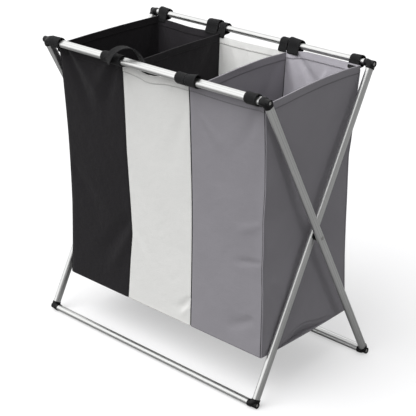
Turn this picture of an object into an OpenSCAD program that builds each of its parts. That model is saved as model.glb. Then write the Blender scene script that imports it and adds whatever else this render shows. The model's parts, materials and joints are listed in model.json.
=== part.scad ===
// Folding three-compartment laundry sorter.
// Two identical X frames of flat-oval tube cross at a rivet on each side, and a
// three-compartment fabric bag hangs from the two top rails by wrap straps.
// +X runs along the rails, -Y is the front and +Z is up. The floor is z = 0.

/* [Stand] */
// Length of a leg between the axes of its two rails
leg_length = 685; // [600:5:740]
// Angle of each leg from upright when the stand is open
open_angle = 27.5; // [24:0.5:31]
// Length of a rail between the axes of its two legs
frame_length = 592; // [520:2:700]
// Sideways shift of each frame, so that the legs pass each other
frame_shift = 9; // [8:0.5:11]

/* [Tube] */
// Width of the flat-oval tube
tube_w = 17; // [15:0.5:18]
// Thickness of the flat-oval tube
tube_t = 12; // [9:0.5:13]
// Wall of the tube
tube_wall = 1.2; // [0.8:0.1:1.8]

/* [Elbows] */
// How much an elbow is larger than the tube, on each side
elbow_lip = 1.2; // [0.8:0.1:1.6]
// Bend radius of an elbow's centre line
elbow_bend = 8.5; // [8.5:0.5:11]
// Straight part of each elbow's arm along the rail
elbow_rail_arm = 4; // [2:0.5:8]
// Straight part of each elbow's arm along the leg
elbow_leg_arm = 2; // [2:0.5:8]
// Depth of an elbow's plug inside the tube
elbow_plug = 18; // [10:1:30]
// Height of the flat ground on the underside of each foot elbow
foot_flat = 0.6; // [0.4:0.1:1]

/* [Rivets] */
// Diameter of the rivet shank
rivet_d = 5; // [4:0.5:6]
// Diameter of the domed rivet head
rivet_head_d = 8; // [7:0.5:10]
// Diameter of the spacer between the crossed legs
spacer_d = 16; // [12:1:17]

/* [Bag] */
// Gap between the bag's side and the inner leg at the rivet
bag_gap = 7; // [6.5:0.5:9]
// Sideways shift of the front panel, and the rear panel's the other way
bag_shift = 5; // [0:0.5:5]
// Depth of the bag from hem to base
bag_depth = 510; // [380:2:520]
// Drop of the hem below the axis of the rail
hem_drop = 11; // [10:0.5:14]
// Distance of the panels inward from the axis of the rail
hang_in = 11.5; // [11:0.5:12]
// Lean of the front and rear panels, inward at the base
bag_lean = 1.4; // [0:0.1:1.6]
// Thickness of the hemmed fabric
fabric_t = 1.4; // [0.8:0.1:1.6]

/* [Straps] */
// Thickness of the strap webbing
strap_t = 1.3; // [1:0.1:1.6]
// Length of strap sewn inside the hem
strap_flap = 16; // [8:1:24]

/* [Carry handle] */
// Distance between the two ends of the handle
handle_span = 85; // [70:1:100]
// Height of the handle's top above the axis of the rail
handle_rise = 29; // [24:1:36]
// Thickness of the handle webbing
handle_t = 2; // [1.6:0.1:2.4]

/* [Hidden] */
$fn = 64;

front = 0;
rear = 180;
left = -1;
right = 1;
top = 1;
foot = -1;

// Elbow section
elbow_w = tube_w + 2 * elbow_lip;
elbow_t = tube_t + 2 * elbow_lip;

// Heights and spread of the open stand
foot_rail_z = (elbow_w - elbow_t) / 2 * sin(open_angle) + elbow_t / 2 - foot_flat;
pivot_z = foot_rail_z + leg_length / 2 * cos(open_angle);
rail_z = foot_rail_z + leg_length * cos(open_angle);
rail_y = leg_length / 2 * sin(open_angle);

// The two legs on each side, measured along X from the middle
inner_leg_x = frame_length / 2 - frame_shift;
outer_leg_x = frame_length / 2 + frame_shift;
spacer_t = outer_leg_x - inner_leg_x - tube_t;

// Clearances between solids
plug_clear = 0.1;
rivet_clear = 0.05;
bag_clear = 0.5;
strap_clear = 0.8;
handle_clear = 0.1;

// Rivet and screw details
rivet_dome_h = 1.8;
rivet_tail_d = 10;
rivet_tail_h = 1.2;
boss_r = 6.4;
boss_proud = 0.4;
screw_head_r = 3.1;
screw_head_h = 1.6;
screw_recess_r = 3.5;
screw_recess = 2.2;
screw_shank_r = 1.5;
screw_bore_r = 1.6;
screw_length = 14;

// Bag outline
bag_w = 2 * inner_leg_x - tube_t - 2 * bag_gap;
bag_left = bag_shift - bag_w / 2;
section_w = bag_w / 3;
bag_top_z = rail_z - hem_drop;
bag_base_z = bag_top_z - bag_depth;
panel_inner = hang_in + fabric_t;
bag_half_y_top = rail_y - panel_inner - bag_clear - hem_drop * sin(bag_lean);
bag_half_y_base = rail_y - panel_inner - bag_clear - (hem_drop + bag_depth) * sin(bag_lean);
base_t = 2;

// Wrap straps, six on each rail from left to right. Each is given by the section
// line it sits at (0 to 3), how far its middle is from that line, and its width.
strap_r = tube_w / 2 + strap_clear;
strap_outer_r = strap_r + strap_t;
front_straps = [[0, 11.5, 32], [1, -15.5, 27], [1, 12, 27], [2, 4, 25], [2, 30, 25], [3, -6.5, 27]];
rear_straps = [[0, 8, 26], [1, -24, 33], [1, 3.5, 19], [2, -10, 20], [2, 15.5, 29], [3, -14.5, 24]];
flap_corner = 2;
flap_leave_out = 10;
flap_leave_in = 40;

// The cross walls step back below the strap flaps
flap_step_z = bag_top_z - strap_flap - 4;
flap_step_h = 2;

// Carry handle: an arch over the front rail, from the second strap
handle_w_out = 4;
handle_x = strap_x(front, front_straps[1]) + handle_span / 2;
handle_foot_z = strap_outer_r + handle_clear + handle_t / 2;
handle_sagitta = handle_rise - handle_foot_z;
handle_r = (pow(handle_span / 2, 2) + pow(handle_sagitta, 2)) / (2 * handle_sagitta);
handle_half_angle = asin(handle_span / 2 / handle_r);
handle_sleeve_w = 24;
handle_sleeve_back = 2;
handle_sleeve_down = 4;
handle_tab_w = 22;
handle_tab_drop = 30;
handle_tab_up = 4;

silver = [0.78, 0.79, 0.80];
black_plastic = [0.05, 0.05, 0.055];
black_fabric = [0.16, 0.155, 0.165];
light_fabric = [0.86, 0.86, 0.84];
grey_fabric = [0.53, 0.52, 0.55];
webbing = [0.08, 0.08, 0.085];
section_colors = [black_fabric, light_fabric, grey_fabric];

// Flat-oval outline, wide along Y
module flat_oval(w, t) {
    square([t, w - t], center = true);
    for (s = [-1, 1]) translate([0, s * (w - t) / 2]) circle(d = t);
}

module tube(length) {
    linear_extrude(length, center = true) difference() {
        flat_oval(tube_w, tube_t);
        flat_oval(tube_w - 2 * tube_wall, tube_t - 2 * tube_wall);
    }
}

// Places a part given in a frame's own plane: X along the rails, Z along the
// legs and the rivet's axis at the origin
module in_frame(turn) {
    rotate([0, 0, turn]) translate([0, 0, pivot_z]) rotate([open_angle, 0, 0]) children();
}

module at_corner(side, end) {
    translate([frame_shift + side * frame_length / 2, 0, end * leg_length / 2])
        mirror([side < 0 ? 1 : 0, 0, 0]) mirror([0, 0, end < 0 ? 1 : 0]) children();
}

module rail(turn, end) {
    color(silver) in_frame(turn) translate([frame_shift, 0, end * leg_length / 2])
        rotate([0, 90, 0]) tube(frame_length - 2 * (elbow_bend + elbow_rail_arm));
}

module leg(turn, side) {
    color(silver) in_frame(turn) translate([frame_shift + side * frame_length / 2, 0, 0])
        difference() {
            tube(leg_length - 2 * (elbow_bend + elbow_leg_arm));
            rotate([0, 90, 0])
                cylinder(r = rivet_d / 2 + rivet_clear, h = 2 * tube_t, center = true);
        }
}

// One arm of an elbow with its plug, running down from the end of the bend
module elbow_limb(arm) {
    end_z = -elbow_bend - arm;
    translate([0, 0, end_z]) linear_extrude(arm) flat_oval(elbow_w, elbow_t);
    translate([0, 0, end_z - elbow_plug]) linear_extrude(elbow_plug)
        flat_oval(tube_w - 2 * tube_wall - 2 * plug_clear, tube_t - 2 * tube_wall - 2 * plug_clear);
}

// Elbow with its rail arm towards -X, its leg arm towards -Z and a screw boss
module elbow_body() {
    face_x = elbow_t / 2 + boss_proud;
    difference() {
        union() {
            elbow_limb(elbow_leg_arm);
            rotate([0, 90, 0]) mirror([1, 0, 0]) elbow_limb(elbow_rail_arm);
            translate([-elbow_bend, 0, -elbow_bend]) rotate([90, 0, 0])
                rotate_extrude(angle = 90) translate([elbow_bend, 0]) flat_oval(elbow_w, elbow_t);
            translate([-elbow_bend, 0, 0]) rotate([0, 90, 0])
                cylinder(r = boss_r, h = elbow_bend + face_x);
        }
        translate([face_x - screw_recess, 0, 0]) rotate([0, 90, 0])
            cylinder(r = screw_recess_r, h = screw_recess + 1);
        translate([face_x - screw_recess - screw_length - 1, 0, 0]) rotate([0, 90, 0])
            cylinder(r = screw_bore_r, h = screw_length + 2);
    }
}

module elbow(turn, side, end) {
    color(black_plastic) difference() {
        in_frame(turn) at_corner(side, end) elbow_body();
        translate([0, 0, -elbow_w]) cube([4 * frame_length, 4 * rail_y, 2 * elbow_w], center = true);
    }
}

module elbow_screw() {
    head_x = elbow_t / 2 + boss_proud - screw_recess;
    translate([head_x, 0, 0]) rotate([0, 90, 0]) cylinder(r = screw_head_r, h = screw_head_h);
    translate([head_x - screw_length, 0, 0]) rotate([0, 90, 0])
        cylinder(r = screw_shank_r, h = screw_length);
}

module frame_screws(turn) {
    color(silver) for (side = [left, right], end = [top, foot])
        in_frame(turn) at_corner(side, end) elbow_screw();
}

// Rivet along X through both legs, with its dome outside and its tail inside
module rivet(side) {
    dome_r = (pow(rivet_head_d / 2, 2) + pow(rivet_dome_h, 2)) / (2 * rivet_dome_h);
    grip = outer_leg_x - inner_leg_x + tube_t;
    color(silver) mirror([side < 0 ? 1 : 0, 0, 0])
        translate([inner_leg_x - tube_t / 2, 0, pivot_z]) rotate([0, 90, 0]) rotate_extrude() {
            translate([0, -rivet_tail_h]) square([rivet_tail_d / 2, rivet_tail_h]);
            translate([0, -rivet_tail_h / 2]) square([rivet_d / 2, grip + rivet_tail_h]);
            translate([0, grip]) intersection() {
                translate([0, rivet_dome_h - dome_r]) circle(r = dome_r, $fn = 180);
                square([rivet_head_d / 2, rivet_dome_h]);
            }
        }
}

module spacer(side) {
    color(black_plastic) mirror([side < 0 ? 1 : 0, 0, 0])
        translate([inner_leg_x + tube_t / 2, 0, pivot_z]) rotate([0, 90, 0]) difference() {
            cylinder(d = spacer_d, h = spacer_t);
            translate([0, 0, -1]) cylinder(r = rivet_d / 2 + rivet_clear, h = spacer_t + 2);
        }
}

// Places a part given from the axis of a top rail: Y points into the bag
module at_top_rail(turn) {
    rotate([0, 0, turn]) translate([0, -rail_y, rail_z]) rotate([bag_lean, 0, 0]) children();
}

// Front or rear panel of one section: 0 dark, 1 light, 2 grey, from the left
module hung_panel(turn, section) {
    slot = turn == front ? section : 2 - section;
    color(section_colors[section]) at_top_rail(turn)
        translate([bag_left + slot * section_w, hang_in, -hem_drop - bag_depth])
            cube([section_w, fabric_t, bag_depth]);
}

// Strap across the rail: a loop round it and a flap down inside the hem
module strap_body(w) {
    mid_r = strap_r + strap_t / 2;
    flap_top = -hem_drop + flap_corner;
    flap_end = -hem_drop - strap_flap;
    rotate([90, 0, 90]) difference() {
        union() {
            cylinder(r = strap_outer_r, h = w);
            linear_extrude(w) polygon([
                [mid_r * cos(flap_leave_out), -mid_r * sin(flap_leave_out)],
                [panel_inner + strap_t, flap_top],
                [panel_inner + strap_t, flap_end],
                [panel_inner, flap_end],
                [panel_inner, flap_top - flap_corner / 2],
                [mid_r * cos(flap_leave_in), -mid_r * sin(flap_leave_in)],
                [0, 0]
            ]);
        }
        translate([0, 0, -1]) cylinder(r = strap_r, h = w + 2);
    }
}

// Middle of a strap along X
function strap_x(turn, place) =
    (turn == front ? bag_left : -bag_left - bag_w) + place[0] * section_w + place[1];

module wrap_strap(turn, place) {
    x = turn == front ? strap_x(turn, place) : -strap_x(turn, place);
    color(webbing) at_top_rail(turn) translate([x - place[2] / 2, 0, 0]) strap_body(place[2]);
}

module carry_handle() {
    inner = strap_outer_r + handle_clear;
    outer = inner + handle_t;
    tab_y = panel_inner + handle_clear;
    color(webbing) at_top_rail(front) {
        translate([handle_x, 0, handle_rise - handle_r]) rotate([90, 0, 0])
            rotate([0, 0, 90 - handle_half_angle]) rotate_extrude(angle = 2 * handle_half_angle)
                translate([handle_r - handle_t, -tab_y - handle_t / 2])
                    square([handle_t, tab_y + handle_t / 2 + handle_w_out]);
        translate([handle_x - handle_span / 2 - handle_sleeve_w / 2, 0, 0])
            rotate([90, 0, 90]) linear_extrude(handle_sleeve_w) polygon([
                [handle_sleeve_back, inner], [-inner * tan(22.5), inner],
                [-inner, inner * tan(22.5)], [-inner, -handle_sleeve_down],
                [-outer, -handle_sleeve_down], [-outer, outer * tan(22.5)],
                [-outer * tan(22.5), outer], [handle_sleeve_back, outer]
            ]);
        translate([handle_x + handle_span / 2 - handle_tab_w / 2, tab_y, -handle_tab_drop])
            cube([handle_tab_w, handle_t, handle_tab_drop + handle_foot_z + handle_tab_up]);
    }
}

// Half the length of a cross wall along Y at height z
function wall_half_y(z) =
    bag_half_y_base + (z - bag_base_z) / bag_depth * (bag_half_y_top - bag_half_y_base);

// Upright cross wall from the front panel to the rear one: place is 0 at the
// left side of the bag, 1 and 2 at the dividers and 3 at the right side
module cross_wall(place, tone) {
    x = place * section_w - bag_w / 2;
    inset = place == 0 ? fabric_t / 2 : place == 3 ? -fabric_t / 2 : 0;
    base_z = bag_base_z + base_t;
    step_top_z = flap_step_z + flap_step_h;
    edge = [
        [wall_half_y(base_z), base_z],
        [wall_half_y(flap_step_z), flap_step_z],
        [wall_half_y(step_top_z) - strap_t, step_top_z],
        [bag_half_y_top - strap_t, bag_top_z]
    ];
    skew = atan(bag_shift / (bag_half_y_top + bag_clear + panel_inner));
    color(tone) translate([x + inset, 0, 0]) rotate([0, 0, skew])
        rotate([90, 0, 90]) linear_extrude(fabric_t, center = true)
            polygon(concat(edge, [for (k = [3:-1:0]) [-edge[k][0], edge[k][1]]]));
}

module base_panel(section) {
    x0 = section * section_w - bag_w / 2;
    x1 = x0 + section_w;
    y = bag_half_y_base;
    shift = bag_shift * y / rail_y;
    color(section_colors[section]) translate([0, 0, bag_base_z]) linear_extrude(base_t)
        polygon([[x0 + shift, -y], [x1 + shift, -y], [x1 - shift, y], [x0 - shift, y]]);
}

rivet(right);  // right_rivet
rivet(left);  // left_rivet
spacer(right);  // right_spacer
spacer(left);  // left_spacer
rail(front, top);  // front_frame_top_rail
rail(front, foot);  // front_frame_foot_rail
leg(front, left);  // front_frame_left_leg
leg(front, right);  // front_frame_right_leg
elbow(front, left, top);  // front_frame_elbow_top_left
elbow(front, right, top);  // front_frame_elbow_top_right
elbow(front, left, foot);  // front_frame_elbow_foot_left
elbow(front, right, foot);  // front_frame_elbow_foot_right
frame_screws(front);  // front_frame_screws
rail(rear, top);  // rear_frame_top_rail
rail(rear, foot);  // rear_frame_foot_rail
leg(rear, right);  // rear_frame_left_leg
leg(rear, left);  // rear_frame_right_leg
elbow(rear, right, top);  // rear_frame_elbow_top_left
elbow(rear, left, top);  // rear_frame_elbow_top_right
elbow(rear, right, foot);  // rear_frame_elbow_foot_left
elbow(rear, left, foot);  // rear_frame_elbow_foot_right
frame_screws(rear);  // rear_frame_screws
hung_panel(front, 0);  // front_panel_dark
hung_panel(front, 1);  // front_panel_light
hung_panel(front, 2);  // front_panel_grey
wrap_strap(front, front_straps[0]);  // front_strap_1
wrap_strap(front, front_straps[1]);  // front_strap_2
wrap_strap(front, front_straps[2]);  // front_strap_3
wrap_strap(front, front_straps[3]);  // front_strap_4
wrap_strap(front, front_straps[4]);  // front_strap_5
wrap_strap(front, front_straps[5]);  // front_strap_6
carry_handle();
hung_panel(rear, 0);  // rear_panel_dark
hung_panel(rear, 1);  // rear_panel_light
hung_panel(rear, 2);  // rear_panel_grey
wrap_strap(rear, rear_straps[0]);  // rear_strap_1
wrap_strap(rear, rear_straps[1]);  // rear_strap_2
wrap_strap(rear, rear_straps[2]);  // rear_strap_3
wrap_strap(rear, rear_straps[3]);  // rear_strap_4
wrap_strap(rear, rear_straps[4]);  // rear_strap_5
wrap_strap(rear, rear_straps[5]);  // rear_strap_6
cross_wall(0, black_fabric);  // left_side_panel
cross_wall(3, grey_fabric);  // right_side_panel
cross_wall(1, black_fabric);  // left_divider
cross_wall(2, grey_fabric);  // right_divider
base_panel(0);  // base_dark
base_panel(1);  // base_light
base_panel(2);  // base_grey
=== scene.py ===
"""Looks of a folding three-compartment laundry sorter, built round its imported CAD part."""
import json
import math

import bpy
import numpy as np
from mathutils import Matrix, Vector


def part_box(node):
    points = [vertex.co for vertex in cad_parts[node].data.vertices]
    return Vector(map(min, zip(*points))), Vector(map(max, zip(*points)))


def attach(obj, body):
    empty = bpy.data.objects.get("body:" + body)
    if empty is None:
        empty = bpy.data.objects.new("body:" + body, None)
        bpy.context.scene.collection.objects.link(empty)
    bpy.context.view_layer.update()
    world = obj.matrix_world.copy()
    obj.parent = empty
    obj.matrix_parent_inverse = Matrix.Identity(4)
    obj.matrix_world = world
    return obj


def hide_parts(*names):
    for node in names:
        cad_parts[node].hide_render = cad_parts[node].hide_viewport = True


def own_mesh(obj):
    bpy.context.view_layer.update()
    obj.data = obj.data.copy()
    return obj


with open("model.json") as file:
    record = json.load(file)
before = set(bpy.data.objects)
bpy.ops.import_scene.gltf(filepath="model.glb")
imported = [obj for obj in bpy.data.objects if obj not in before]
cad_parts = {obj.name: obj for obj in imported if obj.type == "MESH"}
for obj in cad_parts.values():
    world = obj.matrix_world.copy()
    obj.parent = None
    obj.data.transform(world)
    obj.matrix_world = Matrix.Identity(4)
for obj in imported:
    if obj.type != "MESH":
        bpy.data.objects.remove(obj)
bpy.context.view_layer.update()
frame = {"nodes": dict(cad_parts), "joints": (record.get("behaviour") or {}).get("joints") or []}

MM = 0.001
HEM_H = 15 * MM  # height of the doubled cloth along every top edge
JOINTS = {j["name"]: j for j in frame["joints"]}
RAIL_Y = -JOINTS["hang_front"]["pos_m"][1]
RAIL_Z = JOINTS["hang_front"]["pos_m"][2]
PIVOT_Z = JOINTS["fold"]["pos_m"][2]
OPEN_ANGLE = math.asin(RAIL_Y / math.hypot(RAIL_Y, RAIL_Z - PIVOT_Z))

FRONT, REAR = -1, 1
TONES = ("dark", "light", "grey")
# Places of the materials on a fabric piece
MAIN, THREADS, INSIDE, EDGES = range(4)


# ---------------------------------------------------------------- materials

class Nodes:
    """A small helper that adds nodes to a material and links them."""

    def __init__(self, name):
        self.material = bpy.data.materials.new(name)
        self.material.use_nodes = True
        self.tree = self.material.node_tree
        self.shader = self.tree.nodes["Principled BSDF"]

    def add(self, kind, inputs=None, **settings):
        node = self.tree.nodes.new("ShaderNode" + kind)
        for key, value in settings.items():
            setattr(node, key, value)
        for key, value in (inputs or {}).items():
            if isinstance(value, bpy.types.NodeSocket):
                self.tree.links.new(value, node.inputs[key])
            else:
                node.inputs[key].default_value = value
        return node

    def math(self, operation, a, b=0.0, c=0.0):
        return self.add("Math", {0: a, 1: b, 2: c}, operation=operation).outputs[0]

    def shade(self, **inputs):
        for key, value in inputs.items():
            socket = self.shader.inputs[key.replace("_", " ")]
            if isinstance(value, bpy.types.NodeSocket):
                self.tree.links.new(value, socket)
            else:
                socket.default_value = value

    def tone(self, factor, dark, light):
        ramp = self.add("ValToRGB", {0: factor})
        ramp.color_ramp.elements[0].color = (*dark, 1)
        ramp.color_ramp.elements[1].color = (*light, 1)
        return ramp.outputs[0]


def scaled(color, k):
    return tuple(min(1.0, c * k) for c in color)


def cloth_material(name, color, thread=1.1, depth=0.25, mottle=0.10, sheen=0.1, rough=0.82, crumples=1.0):
    """Plain weave on the cloth's own coordinates, with slubs, fine creases, a painted shade line along the
    hem's lower edge and a soft sheen.
    """
    m = Nodes(name)
    uv = m.add("UVMap", uv_map="cloth").outputs[0]
    split = m.add("SeparateXYZ", {0: uv})
    turn = 2 * math.pi / (thread * MM)
    warp = m.math("SINE", m.math("MULTIPLY", split.outputs[0], turn))
    weft = m.math("SINE", m.math("MULTIPLY", split.outputs[1], turn))
    weave = m.math("MULTIPLY", warp, weft)
    blotch = m.add("TexNoise", {"Vector": uv, "Scale": 14.0, "Detail": 3.0, "Roughness": 0.55})
    long_way = m.add("Mapping", {"Vector": uv, "Scale": (420.0, 26.0, 1.0)})
    cross_way = m.add("Mapping", {"Vector": uv, "Scale": (26.0, 420.0, 1.0)})
    slub_a = m.add("TexNoise", {"Vector": long_way.outputs[0], "Scale": 1.0, "Detail": 2.0})
    slub_b = m.add("TexNoise", {"Vector": cross_way.outputs[0], "Scale": 1.0, "Detail": 2.0})
    slubs = m.math("ADD", slub_a.outputs[0], slub_b.outputs[0])
    mix = m.math("MULTIPLY_ADD", blotch.outputs[0], 0.6, m.math("MULTIPLY", slubs, 0.2))
    mix = m.math("MULTIPLY_ADD", weave, 0.04, mix)
    # Painted shade: a dark line along the hem's lower edge, where the doubled cloth steps down to a single
    # layer
    hem_shade_line = m.math("ABSOLUTE", m.math("ADD", split.outputs[1], HEM_H))
    hem_shade_line = m.math("LESS_THAN", hem_shade_line, 0.9 * MM)
    tint = m.tone(mix, scaled(color, 1 - mottle), scaled(color, 1 + mottle))
    # Multiplier that darkens the colour on the painted shade line
    painted_shade = m.math("MULTIPLY_ADD", hem_shade_line, -0.34, 1.0)
    m.shade(Base_Color=m.add("HueSaturation", {"Value": painted_shade, "Color": tint}).outputs[0])
    height = m.math("MULTIPLY_ADD", slubs, 0.5, m.math("MULTIPLY", weave, 0.5))
    crumple = m.add("TexNoise", {"Vector": uv, "Scale": 55.0, "Detail": 4.0, "Roughness": 0.6})
    soft = m.add("Bump", {"Height": crumple.outputs[0], "Strength": 0.6, "Distance": crumples * MM})
    weave_bump = {"Height": height, "Strength": depth, "Distance": 0.3 * MM, "Normal": soft.outputs[0]}
    bump = m.add("Bump", weave_bump)
    m.shade(Normal=bump.outputs[0], Roughness=m.math("MULTIPLY_ADD", blotch.outputs[0], 0.12, rough - 0.06))
    m.shade(Sheen_Weight=sheen, Sheen_Roughness=0.45, Specular_IOR_Level=0.28)
    return m.material


def webbing_material(name, color):
    """Narrow woven tape: ribs across the tape and a herringbone of fine threads."""
    m = Nodes(name)
    uv = m.add("UVMap", uv_map="cloth").outputs[0]
    split = m.add("SeparateXYZ", {0: uv})
    rib = m.math("SINE", m.math("MULTIPLY", split.outputs[1], 2 * math.pi / (1.5 * MM)))
    slant = m.math("PINGPONG", split.outputs[0], 4 * MM)
    twill = m.math("MULTIPLY", m.math("ADD", split.outputs[1], slant), 2 * math.pi / (1.1 * MM))
    twill = m.math("SINE", twill)
    fuzz = m.add("TexNoise", {"Vector": uv, "Scale": 350.0, "Detail": 3.0})
    mix = m.math("MULTIPLY_ADD", twill, 0.18, fuzz.outputs[0])
    m.shade(Base_Color=m.tone(mix, scaled(color, 0.7), scaled(color, 1.6)))
    height = m.math("MULTIPLY_ADD", rib, 0.5, m.math("MULTIPLY", twill, 0.4))
    bump = m.add("Bump", {"Height": height, "Strength": 0.5, "Distance": 0.3 * MM})
    m.shade(Normal=bump.outputs[0], Roughness=m.math("MULTIPLY_ADD", fuzz.outputs[0], 0.1, 0.75))
    m.shade(Sheen_Weight=0.06, Sheen_Roughness=0.4, Specular_IOR_Level=0.3)
    return m.material


def thread_material(name, color):
    m = Nodes(name)
    fuzz = m.add("TexNoise", {"Scale": 1400.0, "Detail": 2.0})
    m.shade(Base_Color=m.tone(fuzz.outputs[0], scaled(color, 0.75), scaled(color, 1.2)), Roughness=0.7)
    m.shade(Sheen_Weight=0.1)
    return m.material


def aluminium_material(name, tilt):
    """Satin aluminium with fine grooves along the tube, painted shade darkening each groove, and faint
    drawing marks.
    """
    m = Nodes(name)
    place = m.add("TexCoord").outputs["Object"]
    level = m.add("Mapping", {"Vector": place, "Rotation": (-tilt, 0.0, 0.0)}).outputs[0]
    split = m.add("SeparateXYZ", {0: level})
    groove = m.math("PINGPONG", split.outputs[1], 2.6 * MM)
    groove = m.math("MINIMUM", m.math("DIVIDE", groove, 0.7 * MM), 1.0)
    drawn = m.add("Mapping", {"Vector": level, "Scale": (30.0, 1500.0, 30.0)})
    marks = m.add("TexNoise", {"Vector": drawn.outputs[0], "Scale": 1.0, "Detail": 3.0})
    haze = m.add("TexNoise", {"Vector": level, "Scale": 18.0, "Detail": 4.0, "Roughness": 0.6})
    tint = m.math("MULTIPLY_ADD", marks.outputs[0], 0.5, m.math("MULTIPLY", haze.outputs[0], 0.5))
    tint = m.tone(tint, (0.74, 0.745, 0.735), (0.95, 0.955, 0.945))
    # Painted shade: the colour darkens to 70 % at the bottom of each groove
    painted_shade = m.math("MULTIPLY_ADD", groove, 0.3, 0.7)
    m.shade(Base_Color=m.add("HueSaturation", {"Value": painted_shade, "Color": tint}).outputs[0], Metallic=1.0)
    m.shade(Roughness=m.math("MULTIPLY_ADD", haze.outputs[0], 0.12, 0.30))
    height = m.math("MULTIPLY_ADD", groove, 0.8, m.math("MULTIPLY", marks.outputs[0], 0.25))
    bump = m.add("Bump", {"Height": height, "Strength": 0.3, "Distance": 0.15 * MM})
    m.shade(Normal=bump.outputs[0], Anisotropic=0.2)
    return m.material


def plastic_material(name, color):
    """Glossy moulded plastic with a faint orange peel and rubbed marks."""
    m = Nodes(name)
    place = m.add("TexCoord").outputs["Object"]
    peel = m.add("TexNoise", {"Vector": place, "Scale": 700.0, "Detail": 2.0})
    rub = m.add("TexNoise", {"Vector": place, "Scale": 90.0, "Detail": 6.0, "Roughness": 0.7})
    m.shade(Base_Color=m.tone(rub.outputs[0], scaled(color, 0.7), scaled(color, 1.5)))
    m.shade(Roughness=m.math("MULTIPLY_ADD", rub.outputs[0], 0.25, 0.14))
    bump = m.add("Bump", {"Height": peel.outputs[0], "Strength": 0.15, "Distance": 0.2 * MM})
    m.shade(Normal=bump.outputs[0], Specular_IOR_Level=0.22)
    return m.material


def steel_material(name):
    m = Nodes(name)
    place = m.add("TexCoord").outputs["Object"]
    scratch = m.add("TexNoise", {"Vector": place, "Scale": 900.0, "Detail": 5.0, "Roughness": 0.7})
    m.shade(Base_Color=m.tone(scratch.outputs[0], (0.42, 0.42, 0.41), (0.72, 0.71, 0.69)), Metallic=1.0)
    m.shade(Roughness=m.math("MULTIPLY_ADD", scratch.outputs[0], 0.2, 0.25))
    bump = m.add("Bump", {"Height": scratch.outputs[0], "Strength": 0.12, "Distance": 0.1 * MM})
    m.shade(Normal=bump.outputs[0])
    return m.material


BLACK = (0.0125, 0.0112, 0.0130)
LIGHT = (0.725, 0.725, 0.71)
GREY = (0.262, 0.253, 0.275)
TAPE = (0.0075, 0.0075, 0.008)

CLOTH = {
    "dark": cloth_material("cloth_black", BLACK, mottle=0.4, sheen=0.05, crumples=2.6),
    "light": cloth_material("cloth_light", LIGHT, mottle=0.05, sheen=0.04),
    "grey": cloth_material("cloth_grey", GREY, mottle=0.10, sheen=0.05),
}
# The inner face of the front and rear walls: the cloth's colours made brighter, which is painted light
# standing in for the light from above that falls inside the bag, with a little more sheen and gloss
LIT_LINING = {
    "dark": cloth_material("lining_black", scaled(BLACK, 1.8), mottle=0.3, sheen=0.12, rough=0.6),
    "light": cloth_material("lining_light", scaled(LIGHT, 1.2), mottle=0.05, sheen=0.06, rough=0.6),
    "grey": cloth_material("lining_grey", scaled(GREY, 1.9), mottle=0.12, sheen=0.12, rough=0.55),
}
THREAD = {
    "dark": thread_material("thread_black", (0.007, 0.0065, 0.007)),
    "light": thread_material("thread_light", (0.46, 0.45, 0.43)),
    "grey": thread_material("thread_grey", (0.11, 0.105, 0.12)),
}
# Painted shade: a near-black colour on the cloth's edge columns, where the upright seams tuck in
SEAM = thread_material("seam_shade", (0.016, 0.0155, 0.017))
WEBBING = webbing_material("webbing_black", TAPE)
TAPE_THREAD = thread_material("thread_tape", (0.035, 0.035, 0.037))
ALUMINIUM = {
    "front_frame": aluminium_material("aluminium_front", OPEN_ANGLE),
    "rear_frame": aluminium_material("aluminium_rear", -OPEN_ANGLE),
}
PLASTIC = plastic_material("plastic_black", (0.006, 0.006, 0.0065))
STEEL = steel_material("steel_zinc")


# ---------------------------------------------------------------- hard parts keep their CAD shape

def finish_cad(node, material):
    mesh = frame["nodes"][node].data
    mesh.materials.clear()
    mesh.materials.append(material)
    mesh.polygons.foreach_set("use_smooth", [True] * len(mesh.polygons))


for node in frame["nodes"]:
    for body in ALUMINIUM:
        if node.startswith(body) and node.endswith(("_rail", "_leg")):
            finish_cad(node, ALUMINIUM[body])
    if "_elbow_" in node or node.endswith("_spacer"):
        finish_cad(node, PLASTIC)
    if node.endswith(("_rivet", "_screws")):
        finish_cad(node, STEEL)


# ---------------------------------------------------------------- mesh helpers

def grid_faces(nu, nv, start=0, flip=False):
    faces = []
    for i in range(nu - 1):
        for j in range(nv - 1):
            a = start + i * nv + j
            quad = (a, a + nv, a + nv + 1, a + 1)
            faces.append(quad[::-1] if flip else quad)
    return faces


def grid_normals(points):
    du = np.gradient(points, axis=0)
    dv = np.gradient(points, axis=1)
    n = np.cross(du, dv)
    return n / np.maximum(np.linalg.norm(n, axis=2, keepdims=True), 1e-12)


# Cross-section of a stitch, in radii: rounded above and pointed below, where it sinks into the cloth
STITCH_SECTION = ((1, 0), (0.3, 0.95), (-0.3, 0.95), (-1, 0), (0, -0.6))


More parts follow.
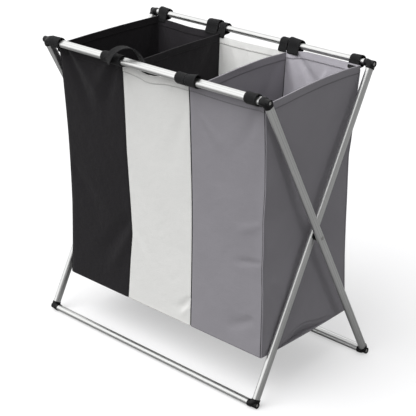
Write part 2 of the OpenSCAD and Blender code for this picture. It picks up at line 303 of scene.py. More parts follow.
class Build:
    """Collects the parts of one mesh: positions, faces, a material for each face and cloth coordinates."""

    def __init__(self):
        self.points, self.faces, self.slots, self.coords = [], [], [], []
        self.count = 0

    def add(self, points, faces, slot, coords=None):
        points = np.asarray(points, float).reshape(-1, 3)
        if coords is None:
            coords = points[:, :2]
        self.points.append(points)
        self.coords.append(np.asarray(coords, float).reshape(-1, 2))
        self.faces += [tuple(self.count + k for k in f) for f in faces]
        self.slots += [slot] * len(faces)
        self.count += len(points)

    def shell(self, points, thick, slot, coords, lining=None, seam=None, seam_columns=(2, 2)):
        """Closed sheet round the grid of points.

        The side that its normals point to can take the slot called lining, and the given number of
        columns at its left and right edges the slot called seam.
        """
        nu, nv = points.shape[:2]
        offset = grid_normals(points) * np.broadcast_to(np.asarray(thick, float), (nu, nv))[..., None] / 2
        both = np.concatenate([(points + offset).reshape(-1, 3), (points - offset).reshape(-1, 3)])
        faces = grid_faces(nu, nv) + grid_faces(nu, nv, nu * nv, True)
        rim = [(i, 0) for i in range(nu)] + [(nu - 1, j) for j in range(1, nv)]
        rim += [(i, nv - 1) for i in range(nu - 2, -1, -1)] + [(0, j) for j in range(nv - 2, 0, -1)]
        ids = [i * nv + j for i, j in rim]
        for a, b in zip(ids, ids[1:] + ids[:1]):
            faces.append((b, a, a + nu * nv, b + nu * nv))
        self.add(both, faces, slot, np.concatenate([coords.reshape(-1, 2)] * 2))
        first = len(self.slots) - len(faces)
        column, side = nv - 1, (nu - 1) * (nv - 1)
        if lining is not None:
            self.slots[first:first + side] = [lining] * side
        if seam is not None:
            left, right = (count * column for count in seam_columns)
            for start in (0, side):
                self.slots[first + start:first + start + left] = [seam] * left
                self.slots[first + start + side - right:first + start + side] = [seam] * right

    def tube(self, path, radius, slot, sides=8):
        path = np.asarray(path, float)
        tangent = np.gradient(path, axis=0)
        tangent /= np.maximum(np.linalg.norm(tangent, axis=1, keepdims=True), 1e-12)
        side = np.cross(tangent, (0.31, 0.17, 0.93) if abs(tangent[0][2]) < 0.9 else (1.0, 0.1, 0.0))
        side /= np.linalg.norm(side, axis=1, keepdims=True)
        up = np.cross(side, tangent)
        a = np.linspace(0, 2 * math.pi, sides, endpoint=False)
        ring = np.cos(a)[None, :, None] * side[:, None] + np.sin(a)[None, :, None] * up[:, None]
        pts = path[:, None] + radius * ring
        faces = []
        for i in range(len(path) - 1):
            for k in range(sides):
                k2 = (k + 1) % sides
                faces.append((i * sides + k, (i + 1) * sides + k, (i + 1) * sides + k2, i * sides + k2))
        faces.append(tuple(range(sides)))
        faces.append(tuple((len(path) - 1) * sides + k for k in range(sides - 1, -1, -1)))
        along = np.cumsum(np.r_[0, np.linalg.norm(np.diff(path, axis=0), axis=1)])
        coords = np.stack(np.broadcast_arrays(a[None, :] * radius, along[:, None]), axis=2)
        self.add(pts, faces, slot, coords)

    def stitches(self, path, normal, slot, length=2.6, gap=1.5, radius=0.32, lift=0.12):
        """Short raised threads along a path that lies on the cloth. Their sizes are in mm."""
        path = np.asarray(path, float)
        normal = np.broadcast_to(np.asarray(normal, float), path.shape)
        along = np.cumsum(np.r_[0, np.linalg.norm(np.diff(path, axis=0), axis=1)])
        starts = np.arange(gap / 2, along[-1] / MM - length, length + gap) * MM
        for s in starts:
            at = np.array([s, s + 0.25 * length * MM, s + 0.75 * length * MM, s + length * MM])
            p = np.stack([np.interp(at, along, path[:, k]) for k in range(3)], axis=1)
            n = np.stack([np.interp(at, along, normal[:, k]) for k in range(3)], axis=1)
            t = p[-1] - p[0]
            t /= np.linalg.norm(t)
            b = np.cross(n, t)
            b /= np.linalg.norm(b, axis=1, keepdims=True)
            high = np.array([-0.2, lift, lift, -0.2])[:, None] * MM
            core = p + n * high
            pts = []
            for q, u, w in zip(core, n, b):
                for x, y in STITCH_SECTION:
                    pts.append(q + (w * x + u * y) * radius * MM)
            faces = []
            sides = len(STITCH_SECTION)
            for i in range(3):
                for k in range(sides):
                    k2 = (k + 1) % sides
                    faces.append((i * sides + k, i * sides + k2, (i + 1) * sides + k2, (i + 1) * sides + k))
            faces += [(4, 3, 2, 1, 0), (15, 16, 17, 18, 19)]
            self.add(pts, faces, slot)

    def make(self, name, materials):
        mesh = bpy.data.meshes.new(name)
        mesh.from_pydata(np.concatenate(self.points).tolist(), [], self.faces)
        for m in materials:
            mesh.materials.append(m)
        mesh.polygons.foreach_set("material_index", self.slots)
        mesh.polygons.foreach_set("use_smooth", [True] * len(mesh.polygons))
        layer = mesh.uv_layers.new(name="cloth")
        loops = np.empty(len(mesh.loops), int)
        mesh.loops.foreach_get("vertex_index", loops)
        layer.data.foreach_set("uv", np.concatenate(self.coords)[loops].astype(np.float32).ravel())
        mesh.validate()
        obj = bpy.data.objects.new(name, mesh)
        bpy.context.scene.collection.objects.link(obj)
        mesh.set_sharp_from_angle(angle=math.radians(50))
        return obj


def smooth_step(x):
    x = np.clip(x, 0, 1)
    return x * x * (3 - 2 * x)


def bell(x, width):
    return np.exp(-((x / width) ** 2))


def crease(px, pz, start, end, width, depth):
    """A drag fold: a ridge from start to end that fades out along its length."""
    ax, az = start
    dx, dz = end[0] - ax, end[1] - az
    length = math.hypot(dx, dz)
    t = ((px - ax) * dx + (pz - az) * dz) / length ** 2
    off = ((px - ax) * dz - (pz - az) * dx) / length
    fade = smooth_step((t + 0.15) / 0.2) * (1 - smooth_step((t - 0.35) / 0.75))
    spread = width * (0.6 + 0.9 * np.clip(t, 0, 1))
    return depth * fade * np.exp(-(off / spread) ** 2)


# ---------------------------------------------------------------- the bag's outline

# Thicknesses of the cloth, the hems and the bases
CLOTH_T = 1.1 * MM
HEM_T = 2.8 * MM
BASE_T = 1.6 * MM
LOW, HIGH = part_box("front_panel_dark")
BASE_Z, HEM_Z = LOW.z, HIGH.z
DEPTH = HEM_Z - BASE_Z
SECTION_W = HIGH.x - LOW.x
PANEL_T = 1.4 * MM  # thickness of the CAD's flat panels
WALL_Y_TOP = -LOW.y - PANEL_T / 2
WALL_Y_BASE = -HIGH.y + PANEL_T / 2
FRONT_X = [LOW.x + k * SECTION_W for k in range(4)]
REAR_X = [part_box("rear_panel_dark")[0].x + k * SECTION_W for k in range(4)]
# Sideways places of the upright seams, from the left: share of the height, mm from the CAD's straight line
SEAM_SWAY = {
    FRONT: (
        [(0, -3), (0.13, 2), (0.33, 6), (0.63, 7), (0.85, 6), (0.95, 5), (1, 3.5)],
        [(0, -6), (0.17, 1.5), (0.29, 9), (0.33, 8), (0.5, 4), (0.65, 2), (0.81, 4.5), (1, 8.5)],
        [(0, -5.5), (0.28, -3), (0.5, 0), (0.7, 2), (0.86, 4.5), (1, 7)],
        # The right front seam stays clear of the rivet and the rear leg, which fold against its lower part
        [(0, 0.3), (0.27, 0.3), (0.33, -1.8), (0.37, -1.8), (0.44, 0.2), (0.55, 0.4),
         (0.67, 6), (0.84, 9.5), (1, 11)],
    ),
    REAR: (
        [(0, 0), (0.25, 4.5), (0.5, 6.5), (0.75, 4.5), (1, -2)],
        [(0, 0), (0.3, 2.5), (0.6, 3), (1, 0)],
        [(0, 0), (0.3, -2.5), (0.6, -3), (1, 0)],
        [(0, 0), (0.25, -4.5), (0.5, -6), (0.66, -8.5), (0.72, -5.5), (1, 2)],
    ),
}
BOW_Y = 7 * MM  # how far the front and rear walls bow inwards at half height


def rise(z):
    return np.clip((z - BASE_Z) / DEPTH, 0, 1.03)


def bow(z):
    return np.sin(math.pi * np.clip(rise(z), 0, 1))


def rounded(knots, at, softness):
    """Value at each place of a line through the knots, its corners rounded over softness steps of 0.005."""
    knots = np.array(knots, float)
    fine = np.linspace(-0.25, 1.25, 301)
    level = np.interp(fine, knots[:, 0], knots[:, 1])
    average = np.ones(softness) / softness
    for _ in range(2):
        level = np.convolve(np.pad(level, softness // 2, mode="edge"), average, "valid")
    return np.interp(at, fine, level)


def seam_x(side, line, z):
    """Sideways place of one of the four upright seams on the front or rear wall."""
    base = (FRONT_X if side == FRONT else REAR_X)[line]
    return base + MM * rounded(SEAM_SWAY[side][line], rise(z), 5)


def wall_y(side, z):
    """Place of the front or rear wall's middle surface, without its folds."""
    flat = WALL_Y_BASE + (WALL_Y_TOP - WALL_Y_BASE) * (z - BASE_Z) / DEPTH
    return side * (flat - BOW_Y * bow(z))


def hem_top(side, section, u):
    """Height of a front or rear panel's top edge across its width."""
    if side == FRONT:
        if section == 1:
            return HEM_Z - 8.5 * MM * bell(u - 0.42, 0.20)
        if section == 0:
            return HEM_Z - 2.5 * MM * bell(u - 0.45, 0.25)
        return HEM_Z + 0.5 * MM - 1.5 * MM * bell(u - 0.5, 0.3)
    if section == 0:
        return HEM_Z + 1.0 * MM - 3.0 * MM * bell(u - 0.55, 0.3)
    if section == 1:
        return HEM_Z - 4.0 * MM - 1.5 * MM * bell(u - 0.35, 0.3)
    return HEM_Z + 0.5 * MM + 5.5 * MM * smooth_step((u - 0.05) / 0.25)


# Drag folds of each front and rear panel: start and end in m from the hem's left end (right, up), then
# width and depth in mm. Folds go into the bag where the depth is positive.
PANEL_FOLDS = {
    (FRONT, 0): (
        ((0.015, 0.0), (0.100, -0.150), 14, 5.0),
        ((0.035, 0.0), (0.140, -0.110), 12, -3.6),
        ((0.165, -0.004), (0.110, -0.140), 14, 4.2),
        ((0.150, 0.0), (0.085, -0.090), 11, -3.0),
        ((0.010, -0.26), (0.110, -0.36), 18, 3.0),
        ((0.178, -0.33), (0.08, -0.46), 17, 4.2),
        ((0.180, -0.36), (0.11, -0.50), 14, -3.0),
    ),
    (FRONT, 1): (
        ((0.045, -0.006), (0.075, -0.026), 4.5, -1.3),
        ((0.150, -0.008), (0.120, -0.026), 4.5, -1.0),
        ((0.020, -0.04), (0.070, -0.18), 14, 1.1),
        ((0.175, -0.05), (0.110, -0.21), 16, 1.2),
        ((0.178, -0.452), (0.140, -0.498), 9, 4.0),
        ((0.176, -0.472), (0.150, -0.503), 6, -2.4),
        ((0.012, -0.36), (0.070, -0.44), 12, -1.1),
    ),
    (FRONT, 2): (
        ((0.168, -0.010), (0.115, -0.125), 14, 2.8),
        ((0.014, -0.020), (0.060, -0.140), 14, 2.4),
        ((0.030, -0.060), (0.090, -0.120), 12, -1.8),
        ((0.175, -0.315), (0.110, -0.330), 6, 2.4),
        ((0.170, -0.240), (0.110, -0.270), 10, -1.8),
        ((0.155, -0.44), (0.085, -0.48), 12, 2.4),
    ),
    (REAR, 0): (
        ((0.020, -0.010), (0.080, -0.120), 12, 2.2),
        ((0.155, -0.010), (0.095, -0.130), 12, -2.0),
    ),
    (REAR, 1): (
        ((0.030, -0.012), (0.090, -0.130), 14, 1.8),
        ((0.150, -0.012), (0.095, -0.120), 12, -1.5),
        ((0.080, -0.018), (0.095, -0.060), 6, 0.9),
    ),
    (REAR, 2): (
        ((0.006, -0.010), (0.055, -0.150), 13, 4.5),
        ((0.030, -0.004), (0.110, -0.100), 10, -3.8),
        ((0.160, -0.010), (0.105, -0.095), 10, 3.2),
        ((0.100, -0.030), (0.075, -0.115), 7, 3.0),
        ((0.048, -0.030), (0.070, -0.115), 6, 2.6),
    ),
}


def drag_folds(folds, x, up):
    """Sum of the folds in a list, at the places x and up from one end of the hem."""
    return sum(crease(x, up, start, end, width * MM, depth * MM) for start, end, width, depth in folds)


def wall_folds(side, section, u, z):
    """Inward displacement of a wall panel: fullness between its seams, and the folds in its table."""
    below = HEM_Z - z
    upright = np.sin(math.pi * np.clip(rise(z), 0, 1))
    d = -1.5 * MM * np.sin(math.pi * u) * upright
    if (side, section) == (FRONT, 1):
        # The hem's middle hangs away from the rail and leaves a slit
        d += 3.0 * MM * bell(u - 0.42, 0.20) * bell(below - 4 * MM, 22 * MM)
    elif (side, section) == (FRONT, 2):
        # A long hollow beside the right front seam
        d += 3.2 * MM * bell(u - 0.93, 0.14) * upright ** 0.7
    elif (side, section) == (REAR, 2):
        # The wall bulges out between its straps
        d -= 5.0 * MM * np.sin(math.pi * u) * bell(below - 60 * MM, 50 * MM)
    return d + drag_folds(PANEL_FOLDS[side, section], u * SECTION_W, -below)


def ripple(a, b, seed, size):
    """Small uneven waves: a sum of crossed sines, always the same for one seed."""
    r = np.random.default_rng(seed)
    out = np.zeros_like(a)
    for k in range(16):
        turn, pace = r.uniform(0, math.pi), 14 * 1.22 ** k
        along = math.cos(turn) * a + math.sin(turn) * b
        cross = math.cos(turn) * b - math.sin(turn) * a
        wave = np.sin(pace * along + r.uniform(0, 6.28))
        out += wave * np.sin(0.35 * pace * cross + r.uniform(0, 6.28)) / 1.16 ** k
    return size * out / 3.0


def hem_thickness(h):
    """Cloth thickness below the top edge: doubled over the hem's height."""
    return CLOTH_T + (HEM_T - CLOTH_T) * (1 - smooth_step((h - HEM_H + 0.6 * MM) / (1.2 * MM)))


def rows_down(hem_rows=16, middle_rows=94, base_rows=24):
    """Each row's share of the depth, from the top edge, close together at the hem and the base."""
    hem = np.linspace(0, (HEM_H + 3 * MM) / DEPTH, hem_rows)
    base = np.linspace(1 - 36 * MM / DEPTH, 1, base_rows)
    middle = np.linspace(hem[-1], base[0], middle_rows + 2)[1:-1]
    return np.r_[hem, middle, base]


def edge_columns(count=60, near=(0.0, 0.004, 0.009, 0.016, 0.028)):
    inner = np.linspace(near[-1], 1 - near[-1], count)[1:-1]
    return np.r_[near, inner, 1 - np.array(near[::-1])]


def at_edges(share, width, reach):
    """1 at both upright edges of a sheet of that width, fading out within a few times the reach."""
    return np.exp(-share * width / reach) + np.exp(-(1 - share) * width / reach)


def wall_grid(side, section):
    """Points (columns, rows, 3) of one front or rear panel's mid-surface, from its left to its right."""
    u = edge_columns()[:, None]
    v = rows_down()[None, :]
    top = hem_top(side, section, u)
    z = top - v * (top - BASE_Z)
    u2 = np.broadcast_to(u, z.shape)
    left, right = seam_x(side, section, z), seam_x(side, section + 1, z)
    x = left + (right - left) * u2
    d = wall_folds(side, section, u2, z)
    pinned = np.sin(math.pi * u2) ** 0.35 * np.clip(rise(z) * 14, 0, 1)
    seed = 11 + section + (5 if side == REAR else 0)
    waves = (0.9 if section == 0 else 0.6) * MM
    d = (d + ripple(x, z, seed, waves)) * pinned
    tuck = 2.0 * MM * at_edges(u2, SECTION_W, 1.8 * MM)
    y = wall_y(side, z) - side * (d + tuck)
    return np.stack([x, y, z], axis=2), top - z


def hem_stitches(b, points, ends):
    """A row of stitches on both faces of a sheet, 2 mm above its hem's lower edge."""
    n = grid_normals(points)
    row = int(np.argmin(np.abs(rows_down() * DEPTH - (HEM_H - 2 * MM))))
    keep = slice(ends, -ends)
    for way in (1, -1):
        b.stitches(points[keep, row] + way * n[keep, row] * HEM_T / 2, way * n[keep, row], THREADS)


def panel(side, section):
    """Front or rear wall of one compartment, with its lining brightened by painted light, its seam edges
    darkened by painted shade, piping and stitches in one mesh.
    """
    tone = TONES[section]
    name = ("front" if side == FRONT else "rear") + "_panel_" + tone
    points, h = wall_grid(side, section)
    b = Build()
    coords = np.stack([np.broadcast_to(edge_columns()[:, None] * SECTION_W, h.shape), -h], axis=2)
    # How many edge columns take the painted seam shade: three at the bag's corners, two elsewhere
    seam_columns = {0: (3, 2), 1: (2, 2), 2: (2, 3)}[section]
    pts, cs, hh = points, coords, h
    if side == REAR:
        pts, cs, hh, seam_columns = points[::-1], coords[::-1], h[::-1], seam_columns[::-1]
    b.shell(pts, hem_thickness(hh), MAIN, cs, lining=INSIDE, seam=EDGES, seam_columns=seam_columns)
    hem_stitches(b, pts, 4)
    if section in (0, 2):
        corner, out = (0, -1) if section == 0 else (3, 1)
        z = np.linspace(BASE_Z + 1 * MM, HEM_Z - 2 * MM, 90)
        piping_x = seam_x(side, corner, z) + out * 0.1 * MM
        piping_y = wall_y(side, z) - side * 0.9 * MM
        b.tube(np.stack([piping_x, piping_y, z], axis=1), 1.25 * MM, MAIN)
    foot = points[:, -1] + np.array([0, -side * 0.1 * MM, 0.6 * MM])
    b.tube(foot, 0.95 * MM, THREADS)
    obj = b.make(name + "_cloth", [CLOTH[tone], THREAD[tone], LIT_LINING[tone], SEAM])
    body = "bag_front" if side == FRONT else "bag_rear"
    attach(obj, body)
    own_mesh(obj)
    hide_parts(name)


# Side panels (lines 0 and 3) and dividers (1 and 2): the height of their top edges over the CAD's hem, as
# share of the way from the front to the rear, mm
WALL_TOP = {
    0: [(0, 4), (0.25, 6), (0.6, 7), (1, 6)],
    1: [(0, -4), (0.4, -2.5), (0.75, 0), (1, 0)],
    2: [(0, -9), (0.3, -6.5), (0.75, -0.5), (1, -4)],
    3: [(0, 0), (0.15, 2), (0.35, 6.5), (0.6, 9.5), (0.85, 9), (1, 6)],
}
# Their drag folds, as in PANEL_FOLDS, but from the hem's front end (back, up). Where the depth is positive,
# a fold goes outwards in a side panel and to the right in a divider.
DIVIDER_FOLDS = (
    ((0.020, -0.020), (0.120, -0.120), 18, 2.4),
    ((0.260, -0.020), (0.170, -0.160), 18, -2.2),
)
WALL_FOLDS = {
    0: (
        ((0.015, -0.020), (0.100, -0.130), 14, 2.0),
        ((0.265, -0.015), (0.200, -0.150), 14, -2.0),
        ((0.240, -0.010), (0.215, -0.110), 8, -2.0),
    ),
    1: DIVIDER_FOLDS,
    2: DIVIDER_FOLDS,
    3: (
        ((0.012, -0.020), (0.110, -0.150), 16, 1.8),
        ((0.270, -0.020), (0.190, -0.140), 16, -1.5),
        ((0.030, -0.36), (0.110, -0.44), 14, 1.6),
    ),
}
SIDE_LINES = (0, 3)
# Rounded widths of these walls, at the top and on average
CROSS_TOP_W, CROSS_MEAN_W = 0.29, 0.28


def lower_hollow(share, z):
    """How far the right side panel draws in under its base seam, which arches up between the corners."""
    arch = 8 * MM + 14 * MM * bell(share - 0.47, 0.17) - 10 * MM * smooth_step((share - 0.72) / 0.2)
    under = 0.55 * np.clip(arch - (z - BASE_Z), 0, None) * bell(share - 0.5, 0.38)
    return under + 3.0 * MM * bell(z - BASE_Z - arch, 2.2 * MM) * bell(share - 0.5, 0.36)


def cross_wall(line):
    """Grid of a side panel or divider, from the front seam to the rear seam of that line."""
    a = edge_columns(46, (0.0, 0.006, 0.014, 0.026, 0.045))[:, None]
    v = rows_down()[None, :]
    top = HEM_Z + rounded(WALL_TOP[line], a, 21) * MM
    z = top - v * (top - BASE_Z)
    share = np.broadcast_to(a, z.shape)
    inset = (0.8 if line in SIDE_LINES else 1.3) * MM
    y0 = wall_y(FRONT, z) + inset
    y1 = wall_y(REAR, z) - inset
    x0, x1 = seam_x(FRONT, line, z), seam_x(REAR, line, z)
    y = y0 + (y1 - y0) * share
    x = x0 + (x1 - x0) * share
    below = HEM_Z - z
    full = np.sin(math.pi * share) * np.sin(math.pi * np.clip(rise(z), 0, 1))
    mid = np.sin(math.pi * share) ** 0.4
    d = drag_folds(WALL_FOLDS[line], y - y0, -below) * mid
    if line in SIDE_LINES:
        d -= 1.5 * MM * full + 1.6 * MM * at_edges(share, CROSS_MEAN_W, 2.2 * MM)
    else:
        d += 5.0 * MM * full * (1 if line == 1 else -1)
        d += 2.0 * MM * bell(below - 16 * MM, 18 * MM) * np.sin(3 * math.pi * share) * mid
    if line == 3:
        d -= lower_hollow(share, z)
    d += ripple(y, z, 31 + line, 1.0 * MM) * mid
    x = x + (-d if line == 0 else d)
    return np.stack([x, y, z], axis=2), top - z, share


def cross_piece(line, node, tone):
    """Side panel or divider, with its hem's stitches in one mesh."""
    points, h, share = cross_wall(line)
    coords = np.stack([share * CROSS_TOP_W, -h], axis=2)
    if line == 0:
        points, h, coords = points[::-1], h[::-1], coords[::-1]
    b = Build()
    b.shell(points, hem_thickness(h), MAIN, coords)
    hem_stitches(b, points, 3)
    obj = b.make(node + "_cloth", [CLOTH[tone], THREAD[tone]])
    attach(obj, "bag_core")
    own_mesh(obj)
    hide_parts(node)


def base_piece(section):
    """Bottom of one compartment: a sheet that sags a little between the walls."""
    tone = TONES[section]
    columns, rows = 40, 44
    u = np.linspace(0, 1, columns)[:, None]
    a = np.linspace(0, 1, rows)[None, :]
    z0 = np.full((columns, rows), BASE_Z + 0.4 * MM)
    y0, y1 = wall_y(FRONT, z0) + 0.6 * MM, wall_y(REAR, z0) - 0.6 * MM
    y = y0 + (y1 - y0) * a
    left = seam_x(FRONT, section, z0) * (1 - a) + seam_x(REAR, section, z0) * a
    right = seam_x(FRONT, section + 1, z0) * (1 - a) + seam_x(REAR, section + 1, z0) * a
    x = left + (right - left) * u
    sag = np.sin(math.pi * a) ** 0.8 * (0.45 + 0.55 * np.sin(math.pi * u) ** 0.7)
    waves = ripple(x, y, 51 + section, 0.8 * MM) * np.sin(math.pi * a) * np.sin(math.pi * u)
    points = np.stack([x, y, z0 - 5.0 * MM * sag + waves], axis=2)
    b = Build()
    b.shell(points, BASE_T, MAIN, np.stack([x, y + 1.0], axis=2))
    n = grid_normals(points)
    for row in (3, -4):
        for way in (1, -1):
            b.stitches(points[2:-2, row] + way * n[2:-2, row] * BASE_T / 2, way * n[2:-2, row], THREADS)
    obj = b.make("base_" + tone + "_cloth", [CLOTH[tone], THREAD[tone]])
    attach(obj, "bag_core")
    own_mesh(obj)
    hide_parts("base_" + tone)


for section in range(3):
    panel(FRONT, section)
    panel(REAR, section)
cross_piece(0, "left_side_panel", "dark")
cross_piece(1, "left_divider", "dark")
cross_piece(2, "right_divider", "grey")
cross_piece(3, "right_side_panel", "grey")
for section in range(3):
    base_piece(section)


# ---------------------------------------------------------------- straps and handle

TAPE_T = 1.2 * MM
HANDLE_T = 1.8 * MM
HANDLE_W = 20 * MM


def tape(b, path, across, width, thick=TAPE_T, columns=11, round_start=False):
    """Flat tape along a path: across is the direction of its width at each point."""
    path, across = np.asarray(path, float), np.asarray(across, float)
    w = np.linspace(-0.5, 0.5, columns)
    along = np.cumsum(np.r_[0, np.linalg.norm(np.diff(path, axis=0), axis=1)])
    narrowed = np.ones(len(path))
    if round_start:
        r = 2.5 * MM
        near = along < r
        corner = np.sqrt(np.clip(1 - (1 - along[near] / r) ** 2, 0, 1))
        narrowed[near] = 1 - (2 * r / width) * (1 - corner)
    pts = path[None] + (w[:, None] * width * narrowed[None])[..., None] * across[None]
    cs = np.stack(np.broadcast_arrays((w * width)[:, None], along[None]), axis=2)
    edge = 1 - 0.45 * (np.abs(w) * 2) ** 8
    b.shell(pts, thick * np.broadcast_to(edge[:, None], pts.shape[:2]), MAIN, cs)
    return pts, along


def strap_loop(lift_top, slack_out, flap):
    """Path of a strap in the plane across its rail, as (into the bag, up) from the rail's axis.

    It starts at its tab end inside the bag, goes up over the rail and back under it to the hem. The
    arguments and the points are in mm.
    """
    outer = []
    for degrees in np.linspace(4, 232, 40):
        c, s = math.cos(math.radians(degrees)), math.sin(math.radians(degrees))
        r = 9.9 + lift_top * max(0.0, s) ** 2 + slack_out * max(0.0, -c) ** 2
        outer.append((r * c, r * s))
    hem = (RAIL_Y - WALL_Y_TOP + (HEM_T + TAPE_T) / 2) / MM + 0.35
    start = [(hem + 0.2, -11 - flap), (hem + 0.1, -11 - 0.6 * flap), (hem, -13), (hem - 0.7, -9),
             (hem - 3.2, -4.5)]
    end = [(-3.5, -10.6), (1.5, -11.4), (6.5, -11.3), (10.2, -11.6), (12.2, -13.6), (12.6, -16.5)]
    return resample(np.array(start + outer + end) * MM, 64)


def resample(p, count):
    """The path with evenly spaced points and its corners smoothed."""
    along = np.r_[0, np.cumsum(np.linalg.norm(np.diff(p, axis=0), axis=1))]
    at = np.linspace(0, along[-1], count)
    q = np.stack([np.interp(at, along, p[:, k]) for k in range(p.shape[1])], axis=1)
    for _ in range(3):
        q[1:-1] = 0.25 * q[:-2] + 0.5 * q[1:-1] + 0.25 * q[2:]
    return q


# For each strap, in mm: extra height over the rail, slack outside the rail, length of the tab end, slant
# along its path, and how much higher its right edge stands over the rail
STRAP_LOOKS = {
    "front_strap_1": (0.8, 0.8, 14, 0.6, 1.0), "front_strap_2": (0.6, 0.6, 14, 0.0, 0.0),
    "front_strap_3": (0.8, 0.4, 12, -0.4, -0.8), "front_strap_4": (0.4, 0.8, 14, 0.5, -0.6),
    "front_strap_5": (2.6, 0.4, 12, -0.8, 4.5), "front_strap_6": (0.6, 0.8, 13, 0.4, 0.4),
    "rear_strap_1": (2.0, 0.8, 6, -0.8, -2.0), "rear_strap_2": (3.4, 1.0, 5, 0.9, 1.5),
    "rear_strap_3": (0.8, 0.6, 7, -1.0, 0.0), "rear_strap_4": (1.0, 0.6, 4, 0.6, 0.0),
    "rear_strap_5": (3.2, 1.0, 5, -1.0, -2.5), "rear_strap_6": (1.2, 0.8, 3, 0.8, 1.0),
}


def strap(node):
    """Tape wrapped round a rail, with stitches along both edges and across its tab end."""
    side = FRONT if node.startswith("front") else REAR
    low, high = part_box(node)
    width, middle = high.x - low.x, (low.x + high.x) / 2
    lift, slack, flap, slant, tilt = STRAP_LOOKS[node]
    loop = strap_loop(lift, slack, flap)
    n = len(loop)
    b = Build()
    y = side * (RAIL_Y - loop[:, 0])
    z = RAIL_Z + loop[:, 1]
    drift = slant * MM * np.linspace(-1, 1, n)
    path = np.stack([middle + drift, y, z], axis=1)
    across = np.tile((1.0, 0.0, 0.0), (n, 1))
    over = np.clip(loop[:, 1] / (10 * MM), 0, 1)
    across[:, 2] += tilt * MM / width * over ** 2
    pts, along = tape(b, path, across, width, round_start=True)
    normal = grid_normals(pts)
    away = path[n // 2] - np.array([middle, side * RAIL_Y, RAIL_Z])
    sign = np.sign(np.sum(normal[5, n // 2] * away))
    tab_end = int(np.searchsorted(along, (flap + 2) * MM))
    tab = slice(3, tab_end)
    rest = slice(tab_end + 3, n - 8)
    for column in (1, -2):
        for way in (1, -1):
            face = way * normal[column, tab]
            b.stitches(pts[column, tab] + face * TAPE_T / 2, face, THREADS)
        face = sign * normal[column, rest]
        b.stitches(pts[column, rest] + face * TAPE_T / 2, face, THREADS)
    row = int(np.searchsorted(along, 3.5 * MM))
    for way in (1, -1):
        face = way * normal[1:-1, row]
        b.stitches(pts[1:-1, row] + face * TAPE_T / 2, face, THREADS)
    obj = b.make(node + "_tape", [WEBBING, TAPE_THREAD])
    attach(obj, "bag_front" if side == FRONT else "bag_rear")
    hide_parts(node)


for node in STRAP_LOOKS:
    strap(node)


def carry_handle():
    """Tape that arches high over the rail, from the second strap to behind the front panel."""
    low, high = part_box("carry_handle")
    x0, x1 = low.x + 12 * MM, high.x - 11 * MM
    near = 11.8 * MM  # from the rail's axis, at both ends of the arch
    top = high.z - RAIL_Z - TAPE_T
    turn = np.radians(np.linspace(-112, 104, 70))
    share = (turn - turn[0]) / (turn[-1] - turn[0])
    reach = near + (top - near) * np.clip(np.cos(turn * 0.86), 0, 1) ** 1.3
    x = x0 + (x1 - x0) * (0.04 + 0.96 * share)
    arc = np.stack([x, -RAIL_Y + reach * np.sin(turn), RAIL_Z + reach * np.cos(turn)], axis=1)
    arc_facing = np.stack([0 * turn, np.sin(turn), np.cos(turn)], axis=1)
    drop = np.linspace(6, 28, 8) * MM
    tail_y = -RAIL_Y + 15.8 * MM
    tail = np.stack([np.full(8, x1), np.full(8, tail_y), RAIL_Z - drop], axis=1)
    tail_facing = np.tile((0.0, 1.0, 0.0), (8, 1))
    rough = np.concatenate([arc, tail])
    path = resample(rough, 96)
    along = np.r_[0, np.cumsum(np.linalg.norm(np.diff(rough, axis=0), axis=1))]
    facing = np.concatenate([arc_facing, tail_facing])
    at = np.linspace(0, along[-1], 96)
    out = np.stack([np.interp(at, along, facing[:, k]) for k in range(3)], axis=1)
    across = np.cross(np.gradient(path, axis=0), out)
    across /= np.linalg.norm(across, axis=1, keepdims=True)
    for _ in range(8):
        across[1:-1] = 0.25 * across[:-2] + 0.5 * across[1:-1] + 0.25 * across[2:]
    across /= np.linalg.norm(across, axis=1, keepdims=True)
    b = Build()
    pts, _ = tape(b, path, across, HANDLE_W, thick=HANDLE_T)
    normal = grid_normals(pts)
    for column in (1, -2):
        for way in (1, -1):
            face = way * normal[column]
            b.stitches(pts[column] + face * HANDLE_T / 2, face, THREADS)
    obj = b.make("carry_handle_tape", [WEBBING, TAPE_THREAD])
    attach(obj, "bag_front")
    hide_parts("carry_handle")


carry_handle()


# ---------------------------------------------------------------- floor, light and camera

FLOOR_LIFT = 0.42  # the floor's own light, for the camera's rays only
SOFTBOX = (-0.50, -0.42, 0.76)  # direction of the room's bright area
ROOM, GLOW = 0.23, 0.92  # the room's light, and how much more comes from its bright area


def stage():
    """Plain pale floor that stays under the feet when the stand folds."""
    m = Nodes("floor")
    seen = m.add("LightPath").outputs["Is Camera Ray"]
    m.shade(Base_Color=m.tone(seen, (0.22, 0.22, 0.22), (0.50, 0.50, 0.505)), Roughness=0.9)
    m.shade(Specular_IOR_Level=0.0)
    m.shade(Emission_Color=(1, 1, 1, 1), Emission_Strength=m.math("MULTIPLY", seen, FLOOR_LIFT))
    mesh = bpy.data.meshes.new("floor")
    half = 30.0
    corners = [(-half, -half, 0), (half, -half, 0), (half, half, 0), (-half, half, 0)]
    mesh.from_pydata(corners, [], [(0, 1, 2, 3)])
    mesh.materials.append(m.material)
    floor = bpy.data.objects.new("floor", mesh)
    bpy.context.scene.collection.objects.link(floor)
    foot = bpy.data.objects.new("floor_level", None)
    low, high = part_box("front_frame_foot_rail")
    foot.location = (0, (low.y + high.y) / 2, 0)
    bpy.context.scene.collection.objects.link(foot)
    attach(foot, "front_frame")
    follow = floor.constraints.new("COPY_LOCATION")
    follow.target = foot
    follow.use_x = follow.use_y = False


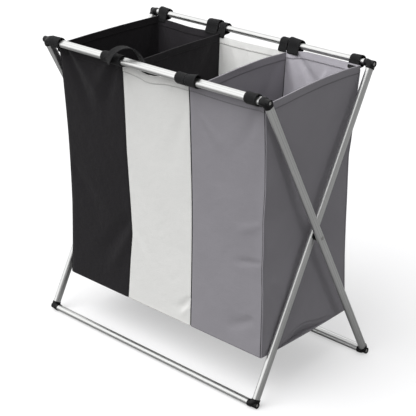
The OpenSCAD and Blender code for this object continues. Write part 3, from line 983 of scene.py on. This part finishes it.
def sun(name, towards, strength, angle):
    """Soft sun that the metal doesn't mirror."""
    data = bpy.data.lights.new(name, "SUN")
    data.energy = strength
    data.angle = math.radians(angle)
    light = bpy.data.objects.new(name, data)
    light.rotation_mode = "QUATERNION"
    light.rotation_quaternion = Vector(towards).to_track_quat("Z", "Y")
    light.visible_glossy = False
    bpy.context.scene.collection.objects.link(light)


def studio_world():
    """A dim room with one broad bright area up on the left, which the metal mirrors."""
    world = bpy.data.worlds.new("studio")
    world.use_nodes = True
    tree = world.node_tree
    place = tree.nodes.new("ShaderNodeTexCoord")
    towards = tree.nodes.new("ShaderNodeVectorMath")
    towards.operation = "DOT_PRODUCT"
    towards.inputs[1].default_value = Vector(SOFTBOX).normalized()
    glow = tree.nodes.new("ShaderNodeMapRange")
    glow.interpolation_type = "SMOOTHSTEP"
    limits = {"From Min": -0.05, "From Max": 0.75, "To Min": ROOM, "To Max": ROOM + GLOW}
    for key, value in limits.items():
        glow.inputs[key].default_value = value
    tree.links.new(place.outputs["Generated"], towards.inputs[0])
    tree.links.new(towards.outputs["Value"], glow.inputs["Value"])
    tree.links.new(glow.outputs[0], tree.nodes["Background"].inputs[1])
    tree.nodes["Background"].inputs[0].default_value = (1, 1, 1, 1)
    bpy.context.scene.world = world


stage()
studio_world()
sun("key", (-0.12, -0.53, 0.84), 1.95, 50)
sun("side", (0.92, -0.10, 0.38), 0.27, 16)
bpy.context.scene.view_settings.view_transform = "Standard"
bpy.context.scene.view_settings.look = "None"

AZIMUTH, ELEVATION = math.radians(44.10), math.radians(22.71)
DISTANCE = 2.7155
AIM = Vector((0.00744, 0.26122))
SENSOR, LENS = 36.0, 109.84
back = Vector((
    math.sin(AZIMUTH) * math.cos(ELEVATION),
    -math.cos(AZIMUTH) * math.cos(ELEVATION),
    math.sin(ELEVATION),
))
right = Vector((math.cos(AZIMUTH), math.sin(AZIMUTH), 0))
up = back.cross(right)
camera_data = bpy.data.cameras.new("camera")
camera_data.sensor_width, camera_data.lens = SENSOR, LENS
camera_data.clip_start, camera_data.clip_end = 0.05, 100
camera = bpy.data.objects.new("camera", camera_data)
camera.rotation_mode = "QUATERNION"
camera.location = right * AIM.x + up * AIM.y + back * DISTANCE
camera.rotation_quaternion = (-back).to_track_quat("-Z", "Y")
bpy.context.scene.collection.objects.link(camera)
bpy.context.scene.camera = camera
